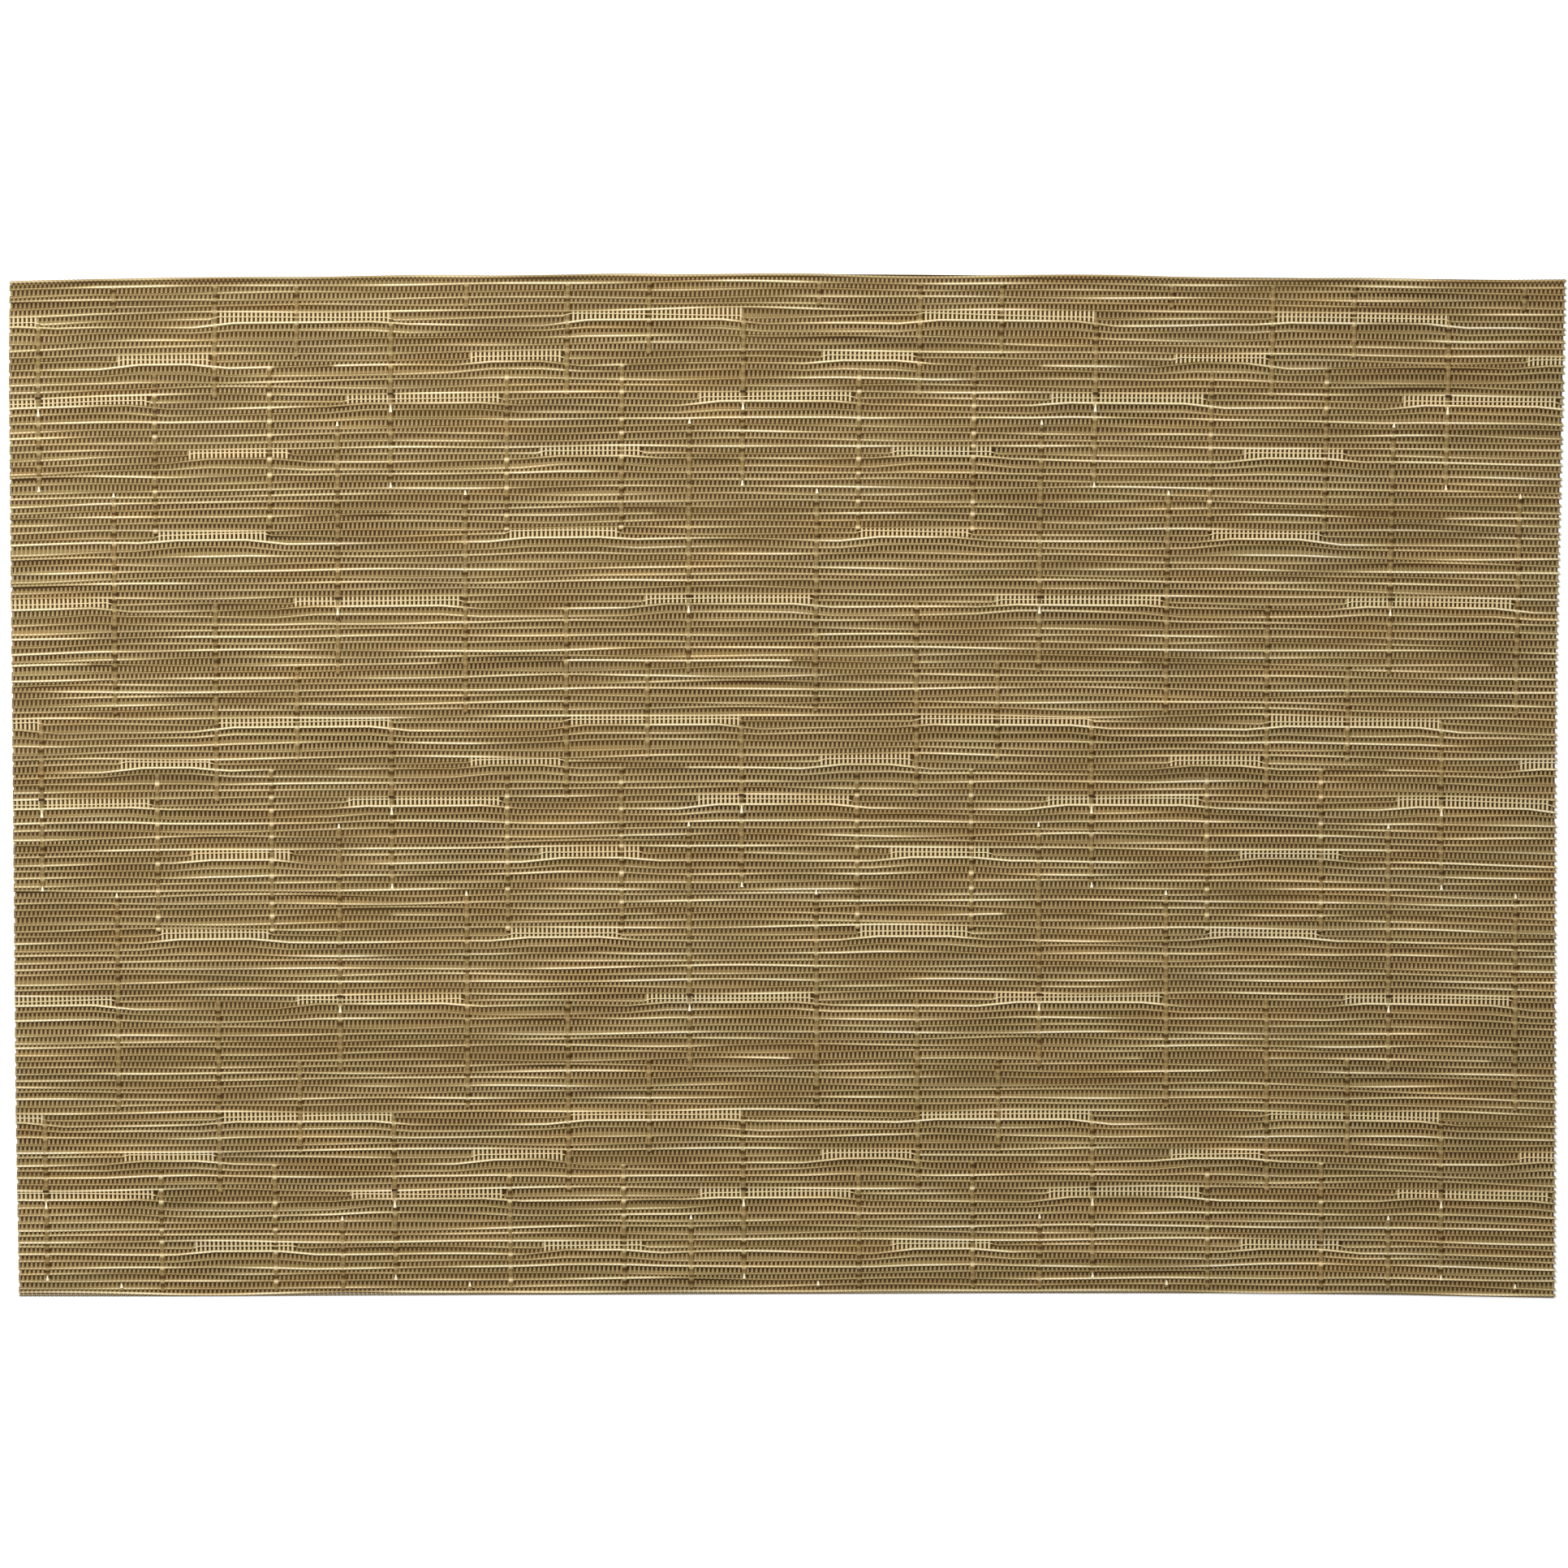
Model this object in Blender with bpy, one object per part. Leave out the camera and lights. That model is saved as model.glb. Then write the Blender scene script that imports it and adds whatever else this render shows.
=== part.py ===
"""A flat woven placemat with the look of split bamboo: one sheet, ribbed from side to side.

The mat lies on z = 0 with its middle over the origin. Its ribs run along X, its far edge is at +Y,
and its woven face is up. Short ladder-like windows, where two ribs are pushed apart and only the
crossing yarn shows, are shallow troughs in the ribbed face.
"""

import bmesh
import bpy

MM = 0.001

# The sheet
LENGTH = 450 * MM
TOP_OF_RIB = 1.3 * MM
GROOVE = 1.0 * MM
TROUGH = 0.8 * MM

# The weave, counted in ribs from the far edge and in crossing yarns from the left edge
RIB_COUNT = 154
RIB_SPREAD = 0.017
YARN_PITCH = 1.2755 * MM
REPEAT_RIBS = 60
REPEAT_YARNS = 80
TROUGH_END = 0.3
RUN_OUT = 2.0
COLUMNS = 7

# Windows in one repeat of the weave: rib, first crossing yarn, last crossing yarn
WINDOWS = (
    (6, 46.4, 86.4),
    (12, 25.0, 45.5),
    (18, 76.8, 111.5),
    (26, 40.9, 63.8),
    (38, 33.5, 58.5),
    (48, 64.9, 102.8),
)

# Cut edges in millimetres from the middle of the mat, as uneven as the scissors left them
FAR_EDGE = (  # x, y
    (-225, 147.0),
    (-200, 147.9),
    (-150, 148.4),
    (-55, 149.3),
    (-10, 149.5),
    (35, 149.3),
    (85, 148.8),
    (175, 148.1),
    (225, 147.6),
)
NEAR_EDGE = (  # x, y
    (-225, -149.1),
    (-180, -149.1),
    (-85, -148.7),
    (10, -148.4),
    (60, -148.2),
    (130, -148.2),
    (180, -148.7),
    (225, -149.6),
)
LEFT_EDGE = (  # y, x
    (-150, -224.6),
    (-95, -225.0),
    (-8, -224.8),
    (120, -224.6),
    (150, -224.0),
)
RIGHT_EDGE = (  # y, x
    (-150, 225.2),
    (-95, 224.8),
    (-9, 223.9),
    (33, 223.7),
    (75, 224.1),
    (120, 224.8),
    (150, 225.0),
)

VINYL_TAN = (0.42, 0.31, 0.16, 1.0)
VINYL_ROUGHNESS = 0.5


def clear_scene():
    for found in list(bpy.data.objects):
        bpy.data.objects.remove(found)


def edge_at(edge, place):
    """Reads a cut edge at a place along it, in metres, straight between the rows of its table."""
    place = min(max(place / MM, edge[0][0]), edge[-1][0])
    for (start, first), (end, last) in zip(edge, edge[1:]):
        if place <= end:
            return (first + (last - first) * (place - start) / (end - start)) * MM
    return edge[-1][1] * MM


def place_in_mat(across, line):
    """Turns a share of the length and a line of the weave into a point between the cut edges.

    A rib has a line at each groove and one on its top, so line 0 is the far edge.
    The ribs lie a little further apart at the far edge than at the near one.
    """
    share = line / (2 * RIB_COUNT)
    share *= 1 + RIB_SPREAD * (1 - share)
    x = (across - 0.5) * LENGTH
    far = edge_at(FAR_EDGE, x)
    near = edge_at(NEAR_EDGE, x)
    y = far + (near - far) * share
    left = edge_at(LEFT_EDGE, y)
    right = edge_at(RIGHT_EDGE, y)
    return left + (right - left) * across, y


def windows_by_rib():
    """Repeats the chart over the mat: for each rib, where its troughs start and end."""
    yarns = LENGTH / YARN_PITCH
    troughs = {}
    for rib, first, last in WINDOWS:
        for row in range(rib, RIB_COUNT, REPEAT_RIBS):
            for shift in range(-REPEAT_YARNS, int(yarns), REPEAT_YARNS):
                start = first + shift
                end = last + shift
                if end < RUN_OUT or start > yarns - RUN_OUT:
                    continue
                if start < RUN_OUT:
                    start = -RUN_OUT
                if end > yarns - RUN_OUT:
                    end = yarns + RUN_OUT
                troughs.setdefault(row, []).append((start / yarns, end / yarns))
    return troughs


def cut_trough_ends(mesh, rib, troughs, ramp):
    """Cuts one rib of the unit sheet across where each of its troughs starts and ends."""
    top = 0.5 - rib / RIB_COUNT
    bottom = 0.5 - (rib + 1) / RIB_COUNT
    band = [face for face in mesh.faces if bottom < face.calc_center_median().y < top]
    for start, end in troughs:
        for cut in (start - ramp, start, end, end + ramp):
            if not 0 < cut < 1:
                continue
            edges = {edge for face in band for edge in face.edges}
            verts = {vert for face in band for vert in face.verts}
            halves = bmesh.ops.bisect_plane(
                mesh,
                geom=band + list(edges) + list(verts),
                dist=1e-6,
                plane_co=(cut - 0.5, 0, 0),
                plane_no=(1, 0, 0),
            )
            band = [part for part in halves["geom"] if isinstance(part, bmesh.types.BMFace)]


def height_at(across, line, troughs):
    """Gives the height of the woven face: rib tops and grooves, or the floor of a trough."""
    for rib in {(line - 1) // 2, line // 2}:
        if any(start <= across <= end for start, end in troughs.get(rib, ())):
            return TROUGH
    return TOP_OF_RIB if line % 2 else GROOVE


def build_mat():
    mesh = bmesh.new()
    bmesh.ops.create_grid(mesh, x_segments=COLUMNS, y_segments=2 * RIB_COUNT, size=0.5)
    troughs = windows_by_rib()
    ramp = TROUGH_END * YARN_PITCH / LENGTH
    for rib in sorted(troughs):
        cut_trough_ends(mesh, rib, troughs[rib], ramp)

    rounding = 1e-5
    for vert in mesh.verts:
        across = vert.co.x + 0.5
        line = round((0.5 - vert.co.y) * 2 * RIB_COUNT)
        widened = {
            rib: [(start - rounding, end + rounding) for start, end in troughs.get(rib, ())]
            for rib in ((line - 1) // 2, line // 2)
        }
        x, y = place_in_mat(across, line)
        vert.co = (x, y, height_at(across, line, widened))

    rim = [edge for edge in mesh.edges if edge.is_boundary]
    skirt = bmesh.ops.extrude_edge_only(mesh, edges=rim)["geom"]
    for part in skirt:
        if isinstance(part, bmesh.types.BMVert):
            part.co.z = 0
    bmesh.ops.contextual_create(mesh, geom=[edge for edge in mesh.edges if edge.is_boundary])
    bmesh.ops.triangulate(mesh, faces=mesh.faces, ngon_method="BEAUTY")
    bmesh.ops.recalc_face_normals(mesh, faces=mesh.faces)

    data = bpy.data.meshes.new("mat")
    mesh.to_mesh(data)
    mesh.free()
    mat = bpy.data.objects.new("mat", data)
    bpy.context.scene.collection.objects.link(mat)
    return mat


def vinyl_yarn():
    material = bpy.data.materials.new("vinyl_yarn")
    material.use_nodes = True
    shader = material.node_tree.nodes["Principled BSDF"]
    shader.inputs["Base Color"].default_value = VINYL_TAN
    shader.inputs["Roughness"].default_value = VINYL_ROUGHNESS
    shader.inputs["Metallic"].default_value = 0.0
    return material


clear_scene()
placemat = build_mat()
placemat.data.materials.append(vinyl_yarn())
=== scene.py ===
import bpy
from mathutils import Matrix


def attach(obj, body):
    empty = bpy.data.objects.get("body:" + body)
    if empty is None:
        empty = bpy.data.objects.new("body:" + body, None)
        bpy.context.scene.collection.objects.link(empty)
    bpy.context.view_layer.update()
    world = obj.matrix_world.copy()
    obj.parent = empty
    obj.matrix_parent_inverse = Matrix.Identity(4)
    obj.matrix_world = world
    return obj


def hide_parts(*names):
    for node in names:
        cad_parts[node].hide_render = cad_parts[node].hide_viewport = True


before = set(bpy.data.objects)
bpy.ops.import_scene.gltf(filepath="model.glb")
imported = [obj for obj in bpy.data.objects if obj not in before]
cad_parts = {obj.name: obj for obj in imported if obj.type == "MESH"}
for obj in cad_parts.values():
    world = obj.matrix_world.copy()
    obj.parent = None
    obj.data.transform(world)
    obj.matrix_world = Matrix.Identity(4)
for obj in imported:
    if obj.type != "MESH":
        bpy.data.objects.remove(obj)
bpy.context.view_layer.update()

import functools
import math

import bmesh
import bpy
from mathutils import Vector, noise

scene = bpy.context.scene


# The view. The mat is photographed from straight above, a few degrees off. The camera stands 1.25 m away
# over the middle of the mat.
VIEW_DISTANCE = 1.25
VIEW_TILT = math.radians(3.6)
VIEW_MIDDLE = Vector((-0.0006, 0.0012, 0.0))
LENS = 98.7
SENSOR = 36.0

scene.view_settings.view_transform = "Standard"
camera = bpy.data.objects.new("camera", bpy.data.cameras.new("camera"))
camera.data.lens = LENS
camera.data.sensor_width = SENSOR
away = Vector((0.0, math.sin(VIEW_TILT), math.cos(VIEW_TILT)))
camera.location = VIEW_MIDDLE + VIEW_DISTANCE * away
camera.rotation_euler = (-VIEW_TILT, 0.0, 0.0)
scene.collection.objects.link(camera)
bpy.context.scene.camera = camera


# The studio. The mat lies on a plain white table in a white room, which gives most of the light. A soft
# box beyond the far left corner gives the rest.
SKY_STRENGTH = 0.72
LAMP_SIDE = 0.5
LAMP_WATTS = 9.5
LAMP_PLACE = Vector((-0.34, 0.42, 0.75))
TABLE_HALF = 3.0
TABLE_WHITE = (0.98, 0.98, 0.98, 1.0)

sky = bpy.data.worlds.new("studio")
sky.use_nodes = True
sky.node_tree.nodes["Background"].inputs["Color"].default_value = (1.0, 1.0, 1.0, 1.0)
sky.node_tree.nodes["Background"].inputs["Strength"].default_value = SKY_STRENGTH
scene.world = sky

lamp = bpy.data.objects.new("soft box", bpy.data.lights.new("soft box", "AREA"))
lamp.data.shape = "RECTANGLE"
lamp.data.size = LAMP_SIDE
lamp.data.size_y = LAMP_SIDE
lamp.data.energy = LAMP_WATTS
lamp.location = LAMP_PLACE
lamp.rotation_euler = LAMP_PLACE.to_track_quat("Z", "Y").to_euler()
scene.collection.objects.link(lamp)

ground = bmesh.new()
bmesh.ops.create_grid(ground, x_segments=1, y_segments=1, size=TABLE_HALF)
table = bpy.data.objects.new("table", bpy.data.meshes.new("table"))
ground.to_mesh(table.data)
ground.free()
table_white = bpy.data.materials.new("white table")
table_white.use_nodes = True
table_white.node_tree.nodes["Principled BSDF"].inputs["Base Color"].default_value = TABLE_WHITE
table_white.node_tree.nodes["Principled BSDF"].inputs["Roughness"].default_value = 0.9
table.data.materials.append(table_white)
scene.collection.objects.link(table)


# The cloth. Under the ribs lies a close weave of brown vinyl-coated yarn, cut to 450 x 298 mm. Only its
# face shows, between the yarns over it, and its top is painted in the near-black and dark brown of the
# shade down there. Every yarn is placed by counting: so many crossing yarns from the left edge, so many ribs
# down from the far edge.
MM = 0.001
LENGTH = 450.0
YARNS = 353
RIBS = 154
RIB_SPREAD = 0.017
CLOTH_THICKNESS = 0.35
CLOTH_HEM = 0.4
CLOTH_COLUMNS = 60
CLOTH_LINES = 40
UNDERSIDE_TONE = 0.62

# the cut edges, in millimetres from the middle of the mat: x, y
FAR_EDGE = ((-225, 147.0), (-200, 147.9), (-150, 148.4), (-55, 149.3), (-10, 149.5), (35, 149.3),
            (85, 148.8), (175, 148.1), (225, 147.6))
NEAR_EDGE = ((-225, -149.1), (-180, -149.1), (-85, -148.7), (10, -148.4), (60, -148.2), (130, -148.2),
             (180, -148.7), (225, -149.6))
# y, x
LEFT_EDGE = ((-150, -224.6), (-95, -225.0), (-8, -224.8), (120, -224.6), (150, -224.0))
RIGHT_EDGE = ((-150, 225.2), (-95, 224.8), (-9, 223.9), (33, 223.7), (75, 224.1), (120, 224.8),
              (150, 225.0))

# tone and colour, from the near-black painted shade of a pit, through brown, to the cream of a full rib
YARN_TONES_AND_SHADE = ((0.0, (0.028, 0.011, 0.001)), (0.25, (0.106, 0.061, 0.016)), (0.5, (0.228, 0.158, 0.064)),
              (0.75, (0.375, 0.287, 0.143)), (0.95, (0.64, 0.53, 0.32)), (1.0, (0.72, 0.65, 0.47)))
# what the colour is multiplied by as it drifts, from grey to olive to gold
TINTS = ((0.32, (0.95, 0.96, 1.0)), (0.46, (0.99, 1.0, 0.95)), (0.56, (1.0, 0.98, 0.97)),
         (0.70, (1.05, 0.99, 0.90)))
TINT_STRETCH = (0.035, 0.33, 1.0)
YARN_ROUGHNESS = 0.55
CLOTH_ROUGHNESS = 0.6
YARN_SHINE = 0.12
CROSSING_PAINTED_LIGHT = 0.45
CROSSING_SHADE = 0.9
CROSSING_BUMP = 0.6
CROSSING_RISE = 0.0003


def read_edge(edge, at):
    """How far out the cut edge lies at this place along it."""
    for (start, out), (end, next_out) in zip(edge, edge[1:]):
        if at <= end:
            share = max(0.0, (at - start) / (end - start))
            return out + (next_out - out) * share
    return edge[-1][1]


def on_mat(yarn, rib, height):
    """The place, in metres, of a crossing yarn and a rib, at a height in millimetres."""
    across = yarn / YARNS
    down = rib / RIBS
    down *= 1.0 + RIB_SPREAD * (1.0 - down)
    x = (across - 0.5) * LENGTH
    far = read_edge(FAR_EDGE, x)
    y = far + (read_edge(NEAR_EDGE, x) - far) * down
    left = read_edge(LEFT_EDGE, y)
    x = left + (read_edge(RIGHT_EDGE, y) - left) * across
    return Vector((x * MM, y * MM, height * MM))


def weave(name, columns, lines, place, keep, finish):
    """One bmesh grid of yarn faces: each point is put where place says, by yarn, rib, height and tone, and
    the faces between the yarns are cut out."""
    cloth = bmesh.new()
    bmesh.ops.create_grid(cloth, x_segments=columns - 1, y_segments=lines - 1, size=1.0)
    counted = cloth.loops.layers.uv.new("weave")
    flat = cloth.loops.layers.uv.new("OFBake")
    tone = cloth.verts.layers.float.new("tone")
    counts = []
    spots = []
    for point in cloth.verts:
        column = round((point.co.x + 1.0) / 2.0 * (columns - 1))
        line = round((1.0 - point.co.y) / 2.0 * (lines - 1))
        yarn, rib, height, light = place(column, line)
        counts.append((column, line))
        spots.append((yarn, rib))
        point.co = on_mat(yarn, rib, height)
        point[tone] = light
    far = max(point.co.y for point in cloth.verts)
    near = min(point.co.y for point in cloth.verts)
    gaps = []
    for face in cloth.faces:
        corners = [counts[point.index] for point in face.verts]
        if keep(min(corner[0] for corner in corners), min(corner[1] for corner in corners)):
            for loop in face.loops:
                spot = loop.vert.co
                loop[counted].uv = spots[loop.vert.index]
                loop[flat].uv = (spot.x / (LENGTH * MM) + 0.5, (spot.y - near) / (far - near))
        else:
            gaps.append(face)
    bmesh.ops.delete(cloth, geom=gaps, context="FACES")
    piece = bpy.data.objects.new(name, bpy.data.meshes.new(name))
    cloth.to_mesh(piece.data)
    cloth.free()
    piece.data.shade_smooth()
    piece.data.materials.append(finish)
    scene.collection.objects.link(piece)
    return piece


def colour_ramp(tree, stops):
    """A colour ramp with these stops, each a position and a colour."""
    ramp = tree.nodes.new("ShaderNodeValToRGB")
    while len(ramp.color_ramp.elements) < len(stops):
        ramp.color_ramp.elements.new(0.5)
    for stop, (position, colour) in zip(ramp.color_ramp.elements, stops):
        stop.position = position
        stop.color = (*colour, 1.0)
    return ramp


def calculate(tree, operation, *values):
    """The result of a Math node that takes these sockets and numbers."""
    node = tree.nodes.new("ShaderNodeMath")
    node.operation = operation
    for socket, value in zip(node.inputs, values):
        if isinstance(value, float):
            socket.default_value = value
        else:
            tree.links.new(value, socket)
    return node.outputs[0]


def vinyl_yarn(name, roughness, woven):
    """Vinyl-coated yarn, whose tone runs from a near-black painted shade through dark brown to cream, and
    drifts to gold and olive. A woven face also shows the crossing of its yarns, raised by a bump, with
    painted light where one lies on top and painted shade where it goes under."""
    material = bpy.data.materials.new(name)
    material.use_nodes = True
    tree = material.node_tree
    shader = tree.nodes["Principled BSDF"]
    shader.inputs["Roughness"].default_value = roughness
    shader.inputs["Specular IOR Level"].default_value = YARN_SHINE

    tone = tree.nodes.new("ShaderNodeAttribute")
    tone.attribute_name = "tone"
    light = tone.outputs["Fac"]
    counts = tree.nodes.new("ShaderNodeUVMap")
    counts.uv_map = "weave"
    if woven:
        count = tree.nodes.new("ShaderNodeSeparateXYZ")
        tree.links.new(counts.outputs["UV"], count.inputs["Vector"])
        along = calculate(tree, "SINE", calculate(tree, "MULTIPLY", count.outputs["X"], 2.0 * math.pi))
        down = calculate(tree, "SINE", calculate(tree, "MULTIPLY", count.outputs["Y"], math.pi))
        crossing = calculate(tree, "MULTIPLY", along, down)
        # painted light and shade: the tone is raised where a yarn lies on top and lowered where it goes under
        lighter = calculate(tree, "MULTIPLY_ADD", crossing, CROSSING_PAINTED_LIGHT, CROSSING_SHADE)
        light = calculate(tree, "MULTIPLY", light, lighter)
        bump = tree.nodes.new("ShaderNodeBump")
        bump.inputs["Strength"].default_value = CROSSING_BUMP
        bump.inputs["Distance"].default_value = CROSSING_RISE
        tree.links.new(crossing, bump.inputs["Height"])
        tree.links.new(bump.outputs["Normal"], shader.inputs["Normal"])
    colours = colour_ramp(tree, YARN_TONES_AND_SHADE)
    tree.links.new(light, colours.inputs["Fac"])

    stretch = tree.nodes.new("ShaderNodeMapping")
    stretch.inputs["Scale"].default_value = TINT_STRETCH
    tree.links.new(counts.outputs["UV"], stretch.inputs["Vector"])
    patches = tree.nodes.new("ShaderNodeTexNoise")
    patches.inputs["Scale"].default_value = 1.0
    patches.inputs["Detail"].default_value = 1.0
    tree.links.new(stretch.outputs["Vector"], patches.inputs["Vector"])
    tints = colour_ramp(tree, TINTS)
    tree.links.new(patches.outputs["Fac"], tints.inputs["Fac"])
    tinted = tree.nodes.new("ShaderNodeMix")
    tinted.data_type = "RGBA"
    tinted.blend_type = "MULTIPLY"
    tinted.inputs["Factor"].default_value = 1.0
    tree.links.new(colours.outputs["Color"], tinted.inputs["A"])
    tree.links.new(tints.outputs["Color"], tinted.inputs["B"])
    tree.links.new(tinted.outputs["Result"], shader.inputs["Base Color"])
    return material


def cloth_spot(column, line):
    """A point of the cloth, which stops just short of the yarns' ends."""
    yarn = CLOTH_HEM + column * (YARNS - 2 * CLOTH_HEM) / CLOTH_COLUMNS
    rib = CLOTH_HEM + line * (RIBS - 2 * CLOTH_HEM) / CLOTH_LINES
    # painted shade: the cloth's top takes ramp tones from near-black to dark brown, varied at random, for the
    # shade deep between the yarns
    shade = noise.noise(Vector((yarn / 30.0, rib / 4.0, 7.0)))
    return yarn, rib, CLOTH_THICKNESS, min(max(0.08 + 0.12 * shade, 0.0), 0.25)


vinyl = vinyl_yarn("vinyl yarn", YARN_ROUGHNESS, woven=False)
woven_vinyl = vinyl_yarn("woven cloth", CLOTH_ROUGHNESS, woven=True)
cloth = weave("cloth", CLOTH_COLUMNS + 1, CLOTH_LINES + 1, cloth_spot, lambda column, line: True, woven_vinyl)
cloth.data.shade_flat()
slab = bmesh.new()
slab.from_mesh(cloth.data)
bmesh.ops.solidify(slab, geom=slab.faces, thickness=CLOTH_THICKNESS * MM)
bmesh.ops.recalc_face_normals(slab, faces=slab.faces)
slab_tone = slab.verts.layers.float["tone"]
for point in slab.verts:
    if point.co.z < CLOTH_THICKNESS * MM / 2.0:
        point[slab_tone] = UNDERSIDE_TONE
slab.to_mesh(cloth.data)
slab.free()


# The ribs. Along the mat run 77 thick cream yarns and between them 77 tan ones. No rib is quite straight
# or even. In the ladder windows the tan rib thins to a rail, and the ribs below bend up into the gap. In
# three brown windows the cream rib stays under.
WINDOWS = ((6, 46.4, 86.4), (12, 25.0, 45.5), (18, 76.8, 111.5), (26, 40.9, 63.8), (38, 33.5, 58.5),
           (48, 64.9, 102.8))  # rib, first yarn, last yarn
BROWN_WINDOWS = ((13, 60.0, 74.0), (35, 66.8, 86.5), (57, 18.0, 46.7))  # rib, first yarn, last yarn
REPEAT_YARNS = 80
REPEAT_RIBS = 60
RIB_MIDDLE = 0.55
WINDOW_LIFT = (0.55, 0.38, 0.15)  # of the first, second and third rib below a window
RAIL_LIFT = 0.35
RAIL_HALF = 0.11
RAIL_TONE = 0.95
RIB_HALF = 0.27
CREAM_TOP = 1.27
TAN_TOP = 1.1
# how far a rib bends, in ribs, and how fast its bends and its strength change, in yarns
BEND = 0.42
LONG_BEND = 0.2
BEND_YARNS = 40.0
STRENGTH_YARNS = 24.0
LONG_YARNS = 400.0
SIDES = (-1.0, -0.38, 0.38, 1.0)
# bead and dip, each on a weak rib and on a full one: a painted highlight on the bead and painted shade in the
# dip
CREAM_TONES = ((0.62, 1.0), (0.34, 0.95))
TAN_TONES = ((0.60, 0.94), (0.34, 0.80))


def repeats(rows):
    """By rib, the spans of yarns that these rows take up in every repeat of the weave."""
    spans = {}
    for rib, first, last in rows:
        for down in range(0, RIBS, REPEAT_RIBS):
            for over in range(-2 * REPEAT_YARNS, YARNS + 1, REPEAT_YARNS):
                if last + over > 0 and first + over < YARNS:
                    spans.setdefault(rib + down, []).append((first + over, last + over))
    return spans


windows = repeats(WINDOWS)
brown_windows = repeats(BROWN_WINDOWS)


def inside(spans, rib, yarn, fade=0.01):
    """1 inside a span of this rib, 0 outside, fading over so many yarns at its ends."""
    depth = max((min(yarn - first, last - yarn) for first, last in spans.get(rib, ())), default=-fade)
    return min(max(depth / fade + 0.5, 0.0), 1.0)


def drift(rib, yarn, length, seed):
    """A slow random swing of about -0.5 to 0.5 along a rib, different on each."""
    return noise.noise(Vector((yarn / length + 0.37, rib * 3.17, seed)))


@functools.lru_cache(maxsize=None)
def rib_line(rib, yarn):
    """Where a rib lies at this yarn, in ribs from the far edge."""
    bend = BEND * drift(rib, yarn, BEND_YARNS, 1.0) + LONG_BEND * drift(rib, yarn, LONG_YARNS, 2.0)
    bend *= 1.0 - inside(windows, rib - 1, yarn, 12.0)
    line = rib + RIB_MIDDLE + bend - RAIL_LIFT * inside(windows, rib, yarn, 2.0)
    for below, lift in enumerate(WINDOW_LIFT, 1):
        line -= lift * inside(windows, rib - below, yarn, 9.0)
    return min(max(line, 0.0), RIBS)


@functools.lru_cache(maxsize=None)
def strength(rib, yarn):
    """How cream and how full a rib is here, up to 1."""
    if rib % 2:
        full = 0.70 + 1.1 * drift(rib, yarn, STRENGTH_YARNS, 3.0) + 0.4 * drift(rib, yarn, LONG_YARNS, 4.0)
        full += 0.35 * inside(windows, rib - 1, yarn, 6.0)
        full *= 1.0 - 0.9 * inside(brown_windows, rib, yarn, 2.0)
    else:
        full = 0.52 + 0.95 * drift(rib, yarn, STRENGTH_YARNS, 5.0) + 0.4 * drift(rib, yarn, LONG_YARNS, 6.0)
    return min(max(full, 0.12), 1.0)


def ribs(name, first_rib, count, top, bead_shift, tones):
    """Every second rib from the first one, each a row of beads where the crossing yarns come up over it, with
    painted shade along its edges.
    """
    across = len(SIDES)

    def place(column, line):
        rib = first_rib + 2 * (line // across)
        side = SIDES[line % across]
        edge = abs(side) == 1.0
        yarn = min(max((column - 1) / 2.0 + bead_shift, 0.0), YARNS)
        bead = column % 2
        full = strength(rib, yarn)
        width = RIB_HALF * (0.75 + 0.25 * full) * (1.0 if bead else 0.72)
        cut = column == 0 or column == 2 * YARNS + 2
        weak, strong = tones[0 if bead else 1]
        light = weak + (strong - weak) * full
        height = top * (0.72 + 0.28 * full) * (1.0 if bead else 0.9)
        if inside(windows, rib, yarn):
            width = RAIL_HALF
            light = RAIL_TONE
            height = 1.15 if full > 0.4 else 0.8
        if edge or cut:
            height = CLOTH_THICKNESS - 0.05
        row = rib_line(rib, yarn) + side * width
        # painted shade: the rib's two edges take 0.45 of its tone
        return yarn, min(max(row, 0.0), RIBS), height, 0.45 * light if edge else light

    def keep(column, line):
        return line % across != across - 1

    return weave(name, 2 * YARNS + 3, across * count, place, keep, vinyl)


ribs("cream_ribs_far", 1, 26, CREAM_TOP, 0.0, CREAM_TONES)
ribs("cream_ribs_middle", 53, 26, CREAM_TOP, 0.0, CREAM_TONES)
ribs("cream_ribs_near", 105, 25, CREAM_TOP, 0.0, CREAM_TONES)
ribs("tan_ribs_far", 0, 26, TAN_TOP, 0.5, TAN_TONES)
ribs("tan_ribs_middle", 52, 26, TAN_TOP, 0.5, TAN_TONES)
ribs("tan_ribs_near", 104, 25, TAN_TOP, 0.5, TAN_TONES)


# The crossing yarns. Brown yarns run from far edge to near edge, dipping under one rib and rising to the
# next. Half of them come up at the cream ribs and the others, half a step on, at the tan ones. In the
# ladder windows the first kind shows as cream rungs.
YARN_HALF = 0.31
EMERGES = 0.70
EMERGES_LATER = 0.35
RISES_TO = 0.20
RISEN_HEIGHT, RISEN_TONE = 0.95, 0.66
# painted shade: the low end, just out from under a rib, is darker than the risen end
LOW_HEIGHT, LOW_SHADED_TONE = 0.45, 0.45
RUNG_HEIGHT, RUNG_TONE = 1.05, 0.94
TONE_SWING = 0.15
TONE_YARNS = 60.0


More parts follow.
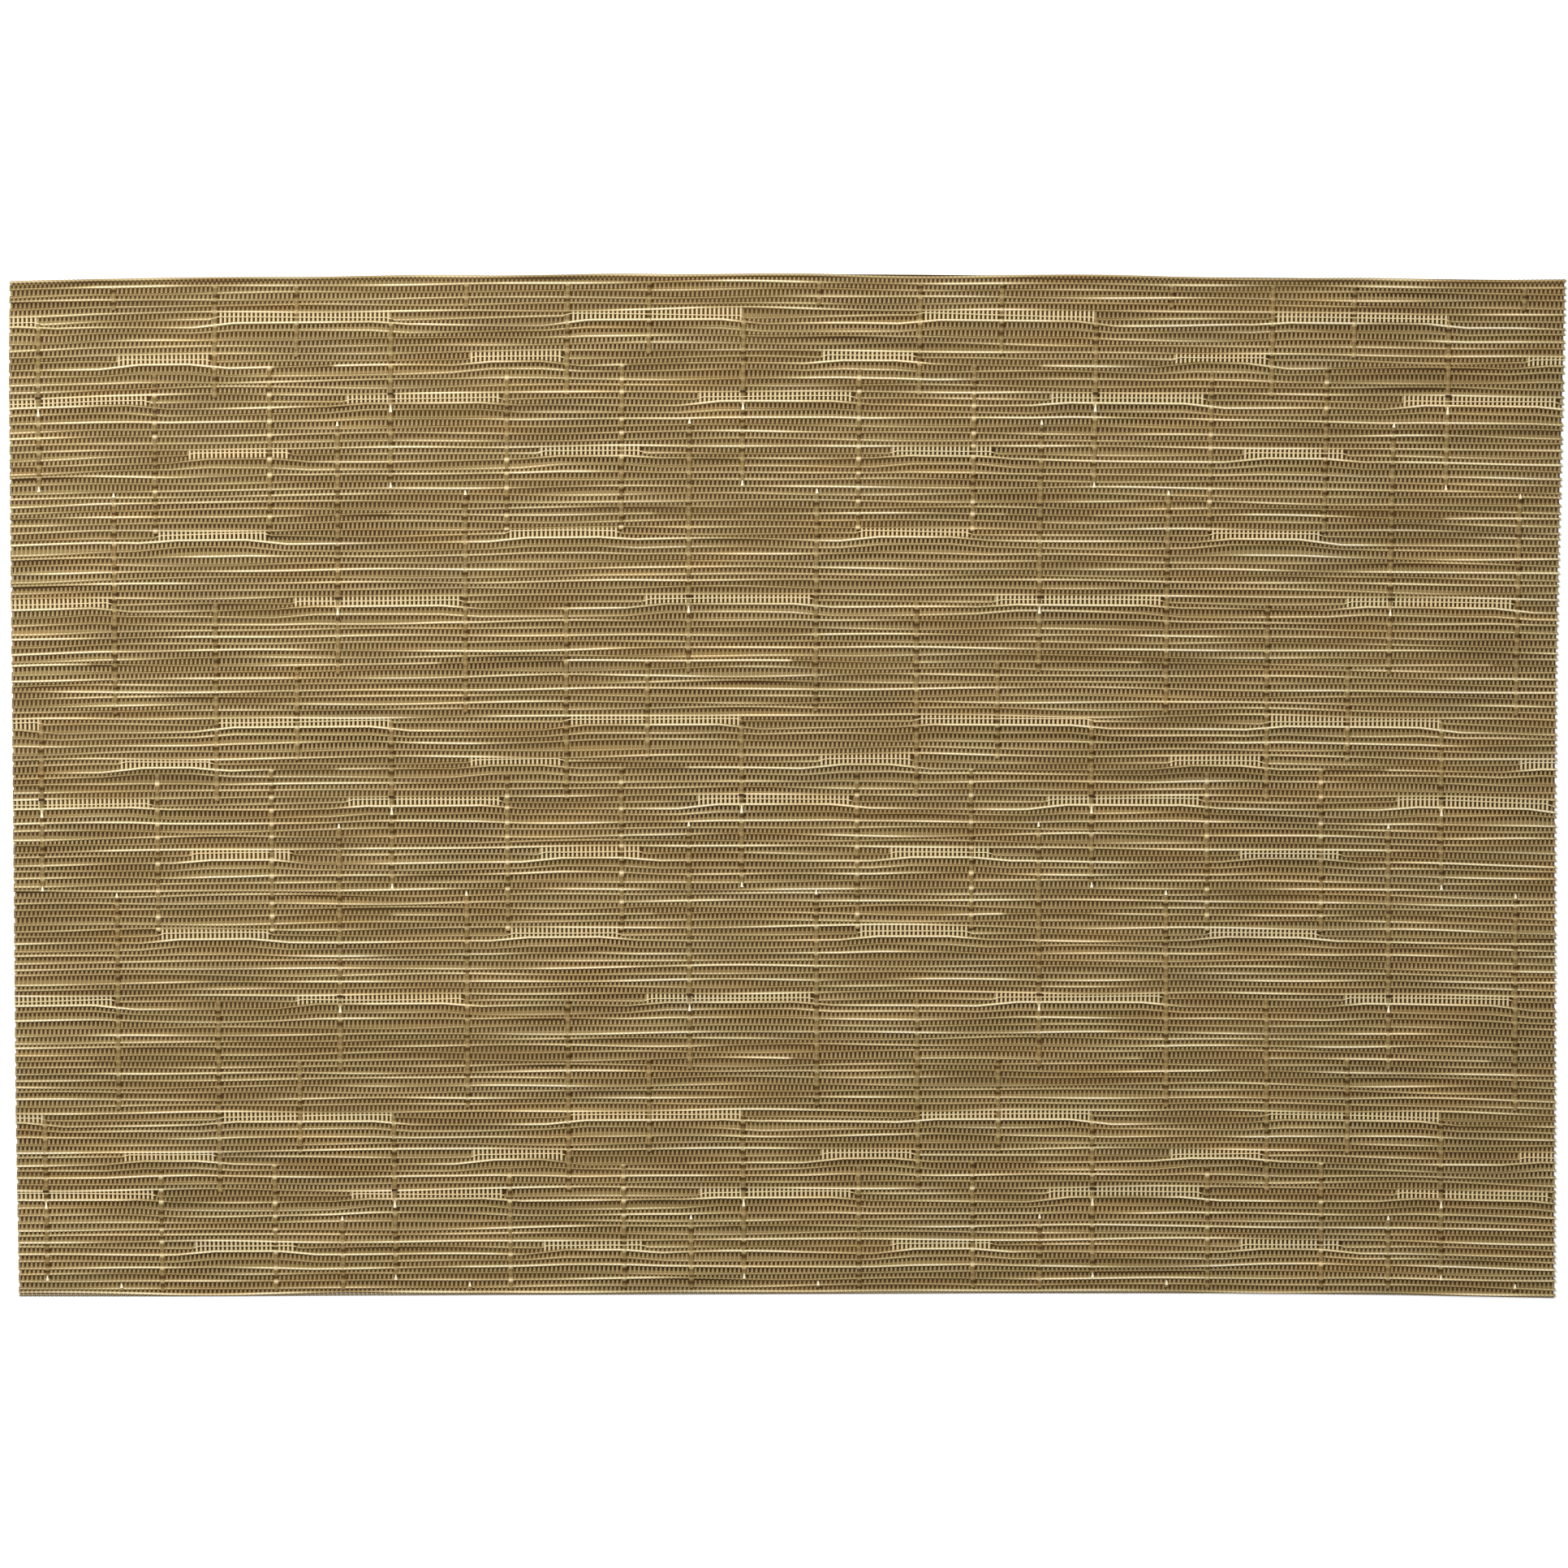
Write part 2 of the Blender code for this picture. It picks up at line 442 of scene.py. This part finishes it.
def crossing_yarns(name, shift, crown_rib):
    """Strips of yarn, each from just past the rib that it comes down from to the next that it rises to,
    painted darker with shade at the low end, where it comes out from under the rib, and at its sides.
    """

    def place(column, line):
        yarn = min(max(column // 3 + shift + (column % 3 - 1) * YARN_HALF, 0.0), YARNS)
        crown = column % 3 == 1
        rib = crown_rib + 2 * (line // 2)
        swing = TONE_SWING * drift(rib, yarn, TONE_YARNS, 8.0)
        rung = inside(windows, rib + 1, column // 3 + shift)
        if line % 2:
            row = rib_line(rib + 2, yarn) - RISES_TO
            if inside(windows, rib + 2, column // 3 + shift):
                row = rib_line(rib + 1, yarn)
            height, light = RISEN_HEIGHT, RISEN_TONE + swing
        else:
            hidden = EMERGES + EMERGES_LATER * (1.0 - strength(rib + 1, yarn))
            row = rib_line(rib, yarn) + (0.1 if rung else hidden)
            if inside(windows, rib, column // 3 + shift):
                row = rib_line(rib + 1, yarn) + 0.1
            height, light = LOW_HEIGHT, LOW_SHADED_TONE + swing
        if rung:
            height, light = RUNG_HEIGHT, RUNG_TONE
        if not crown:
            # painted shade: the strip's sides take 0.8 of its tone
            height, light = CLOTH_THICKNESS - 0.05, light * 0.8
        return yarn, min(max(row, 0.0), RIBS), height, light

    def keep(column, line):
        return column % 3 != 2 and line % 2 == 0

    return weave(name, 3 * YARNS, RIBS + 4, place, keep, vinyl)


crossing_yarns("yarns_up_at_cream", 0.0, -1)
crossing_yarns("yarns_up_at_tan", 0.5, -2)


# The joints. Like those of a bamboo cane, short upright columns stand in the weave, where one crossing
# yarn is twice as wide and lies over the ribs: tan, and bright or brown where it crosses a cream rib.
JOINTS = ((6.7, 5.7, 31.3), (23.7, 32.0, 65.7), (33.1, 13.2, 38.3), (46.7, 48.0, 78.0), (59.2, 13.0, 38.5),
          (65.2, 56.5, 72.9), (74.6, 21.9, 59.5))  # yarn, first rib, last rib
PALE_JOINTS = (33.1, 59.2)
JOINT_SIDES = (-1.0, -0.6, 0.6, 1.0)
JOINT_FOOT = 0.6
JOINT_TOP = 1.12
# half width at a cream rib, at a tan rib and between them
HALF_AT_CREAM, HALF_AT_TAN, HALF_BETWEEN = 0.75, 0.62, 0.55
# tone at a tan rib and between the ribs, and the near-black painted shade of a gap between the ribs
TAN_CROSSING, BETWEEN, SHADED_GAP_TONE = 0.52, 0.34, 0.04


def everywhere(rows):
    """These rows again in every repeat of the weave."""
    for yarn, *ribs_at in rows:
        for down in range(-REPEAT_RIBS, RIBS, REPEAT_RIBS):
            for over in range(-REPEAT_YARNS, YARNS + 1, REPEAT_YARNS):
                placed = [rib + down for rib in ribs_at]
                if 1.5 < yarn + over < YARNS - 1.5 and placed[-1] > 1.0 and placed[0] < RIBS - 1.0:
                    yield yarn, yarn + over, *[min(max(rib, 0.3), RIBS - 0.3) for rib in placed]


joint_spots = []
for number, (kind, middle, first, last) in enumerate(everywhere(JOINTS)):
    for rib in range(math.ceil(first), math.floor(last)):
        line = rib_line(rib, middle)
        gap = 0.5 * (rib_line(rib + 1, middle) - line)
        chance = 0.5 + drift(rib, middle, 0.7, 9.0)
        if rib % 2:
            light = 1.0 if kind in PALE_JOINTS and chance > 0.45 else 0.5 + 0.35 * strength(rib, middle)
            joint_spots.append((number, middle, line, HALF_AT_CREAM, light))
        else:
            joint_spots.append((number, middle, line, HALF_AT_TAN, TAN_CROSSING))
        # between the ribs a joint gets, at random, the painted shade of a gap
        light = BETWEEN if chance > 0.4 else SHADED_GAP_TONE
        joint_spots.append((number, middle, line + gap, HALF_BETWEEN, light))


def joint_spot(column, line):
    """A point of a joint, whose sides go down between the ribs."""
    number, middle, row, half, light = joint_spots[line]
    side = JOINT_SIDES[column]
    if abs(side) == 1.0:
        # painted shade: a joint's feet, down between the ribs, take 0.6 of its tone
        return middle + side * half, row, JOINT_FOOT, light * 0.6
    return middle + side * half, row, JOINT_TOP + 0.2 * (light - 0.5), light


def joint_keep(column, line):
    """Only where both lines are on the same joint."""
    return joint_spots[line][0] == joint_spots[line + 1][0]


weave("joints", len(JOINT_SIDES), len(joint_spots), joint_spot, joint_keep, vinyl)


# The spikes. Here and there a loose loop of a joint's yarn stands out as a pale spike, wider at its foot.
# It is the same vinyl yarn, held by the ribs above and below it.
SPIKES = ((6.7, 19.2, 20.3), (6.7, 30.7, 31.5), (23.7, 31.9, 32.6), (74.6, 21.6, 22.3),
          (74.6, 49.3, 50.3))  # yarn, tip, foot
SPIKE_HALVES = (0.10, 0.22, 0.34)
SPIKE_TOP = 1.4
SPIKE_SIDE = 1.25

spike_rows = list(everywhere(SPIKES))


def spike_spot(column, line):
    """A point of a spike, three lines from tip to foot."""
    kind, middle, tip, foot = spike_rows[line // 3]
    row = tip + (foot - tip) * (line % 3) / 2.0
    side = column - 1.0
    return middle + side * SPIKE_HALVES[line % 3], row, SPIKE_SIDE if side else SPIKE_TOP, 1.0


weave("spikes", 3, 3 * len(spike_rows), spike_spot, lambda column, line: line % 3 < 2, vinyl)


# The dark gaps. Above two of the spikes the loop has left its place, and the gap it leaves is painted as a
# short near-black dash of shade across the joint.
SHADED_GAPS = ((6.7, 17.6), (74.6, 47.8))  # yarn, rib
DASH_LENGTH = 1.4
DASH_WIDTH = 0.36
DASH_HEIGHT = 1.36
# painted shade: the dash takes the near-black of the ramp's pit end
DASH_SHADE_TONE = 0.02

shaded_gap_rows = list(everywhere(SHADED_GAPS))


def shaded_gap_spot(column, line):
    """A corner of a dash, two lines to each."""
    kind, middle, rib = shaded_gap_rows[line // 2]
    row = rib + (line % 2 - 0.5) * DASH_WIDTH
    return middle + (column - 0.5) * DASH_LENGTH, row, DASH_HEIGHT, DASH_SHADE_TONE


weave("gap_shade_dashes", 2, 2 * len(shaded_gap_rows), shaded_gap_spot, lambda column, line: line % 2 == 0, vinyl)


# The whole mat. Every yarn is woven into the cloth, so all pieces ride with it and lie flat on the table.
pieces = [piece for piece in scene.objects if piece.type == "MESH" and "weave" in piece.data.uv_layers]
for piece in pieces:
    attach(piece, "root")
    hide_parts("mat")
